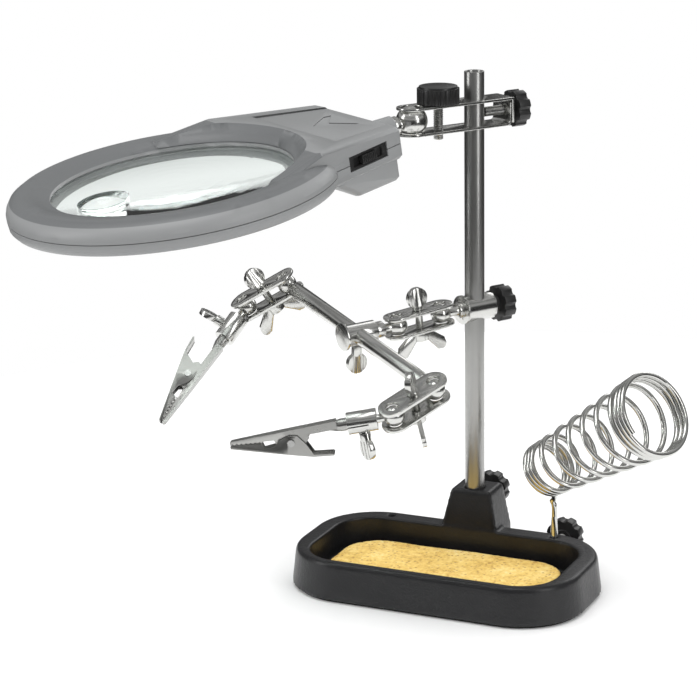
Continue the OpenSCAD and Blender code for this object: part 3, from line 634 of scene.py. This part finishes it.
def makeCamera():
    yaw, down, roll = (math.radians(camera[name]) for name in ("yaw", "down", "roll"))
    ahead = Vector((-math.sin(yaw) * math.cos(down), math.cos(yaw) * math.cos(down), -math.sin(down)))
    right = Vector((math.cos(yaw), math.sin(yaw), 0))
    up = right.cross(ahead)
    turnedRight = right * math.cos(roll) + up * math.sin(roll)
    turnedUp = up * math.cos(roll) - right * math.sin(roll)
    data = bpy.data.cameras.new("studioCamera")
    data.sensor_width = camera["sensor"]
    data.lens = camera["lens"]
    data.clip_start, data.clip_end = 0.05, 20
    thing = bpy.data.objects.new("studioCamera", data)
    turn = Matrix((turnedRight, turnedUp, -ahead)).transposed().to_4x4()
    thing.matrix_world = Matrix.Translation(camera["place"]) @ turn
    bpy.context.scene.collection.objects.link(thing)
    bpy.context.scene.camera = thing


makeCamera()


def areaLight(name, place, target, size, power):
    data = bpy.data.lights.new(name, "AREA")
    data.shape = "RECTANGLE"
    data.size, data.size_y = size
    data.energy = power
    thing = bpy.data.objects.new(name, data)
    thing.location = place
    thing.rotation_euler = (Vector(target) - Vector(place)).to_track_quat("-Z", "Y").to_euler()
    bpy.context.scene.collection.objects.link(thing)


areaLight("topSoftbox", (-0.2, -0.3, 1.5), (0, 0, 0.1), (1.0, 0.8), 7)
areaLight("leftSoftbox", (-1.2, -0.9, 0.7), (0, 0, 0.15), (0.35, 1.2), 6)
areaLight("rightSoftbox", (1.3, -0.5, 0.7), (0, 0, 0.15), (0.3, 1.2), 5)
areaLight("backSoftbox", (0.2, 1.4, 0.9), (0, 0, 0.15), (1.2, 0.5), 4)

studio = {  # brightness of the walls from the bottom to the top
    "stops": [(0.0, 0.08), (0.38, 0.02), (0.54, 0.015), (0.61, 0.05), (0.67, 0.55), (0.76, 0.14),
              (0.88, 0.5), (1.0, 0.2)],
    "backdrop": 1.0, "floorRadius": 0.5, "floorTone": 0.93, "floorMiddle": (0.02, 0, 0),
}


def makeStudio():
    # dim walls for the metal to mirror, a white backdrop behind the object
    world = bpy.data.worlds.new("studio")
    bpy.context.scene.world = world
    world.use_nodes = True
    tree = world.node_tree
    place = tree.nodes.new("ShaderNodeTexCoord")
    split = tree.nodes.new("ShaderNodeSeparateXYZ")
    ramp = tree.nodes.new("ShaderNodeValToRGB")
    stops = studio["stops"]
    while len(ramp.color_ramp.elements) < len(stops):
        ramp.color_ramp.elements.new(0.5)
    for element, (spot, tone) in zip(ramp.color_ramp.elements, stops):
        element.position, element.color = spot, (tone, tone, tone, 1)
    half = tree.nodes.new("ShaderNodeMath")
    half.operation = "MULTIPLY_ADD"
    half.inputs[1].default_value, half.inputs[2].default_value = 0.5, 0.5
    path = tree.nodes.new("ShaderNodeLightPath")
    notGlossy = tree.nodes.new("ShaderNodeMath")
    notGlossy.operation = "SUBTRACT"
    notGlossy.inputs[0].default_value = 1
    seen = tree.nodes.new("ShaderNodeMath")
    seen.operation = "MAXIMUM"
    mixed = tree.nodes.new("ShaderNodeMixShader")
    walls = tree.nodes["Background"]
    backdrop = tree.nodes.new("ShaderNodeBackground")
    backdrop.inputs["Color"].default_value = (1, 1, 1, 1)
    backdrop.inputs["Strength"].default_value = studio["backdrop"]
    join = tree.links.new
    join(place.outputs["Generated"], split.inputs[0])
    join(split.outputs["Z"], half.inputs[0])
    join(half.outputs[0], ramp.inputs[0])
    join(ramp.outputs[0], walls.inputs["Color"])
    join(path.outputs["Is Glossy Ray"], notGlossy.inputs[1])
    join(notGlossy.outputs[0], seen.inputs[0])
    join(path.outputs["Is Transmission Ray"], seen.inputs[1])
    join(seen.outputs[0], mixed.inputs[0])
    join(walls.outputs[0], mixed.inputs[1])
    join(backdrop.outputs[0], mixed.inputs[2])
    join(mixed.outputs[0], tree.nodes["World Output"].inputs["Surface"])


makeStudio()
bpy.ops.object.select_all(action="DESELECT")
bpy.ops.mesh.primitive_circle_add(vertices=96, radius=studio["floorRadius"], fill_type="NGON",
                                  location=studio["floorMiddle"])
floor = bpy.context.object
floor.name = "studioFloor"
floorFinish = Finish("paleFloor", color=(studio["floorTone"],) * 3, rough=0.7)
paint(floor, floorFinish.material)
bpy.context.scene.view_settings.view_transform = "Standard"
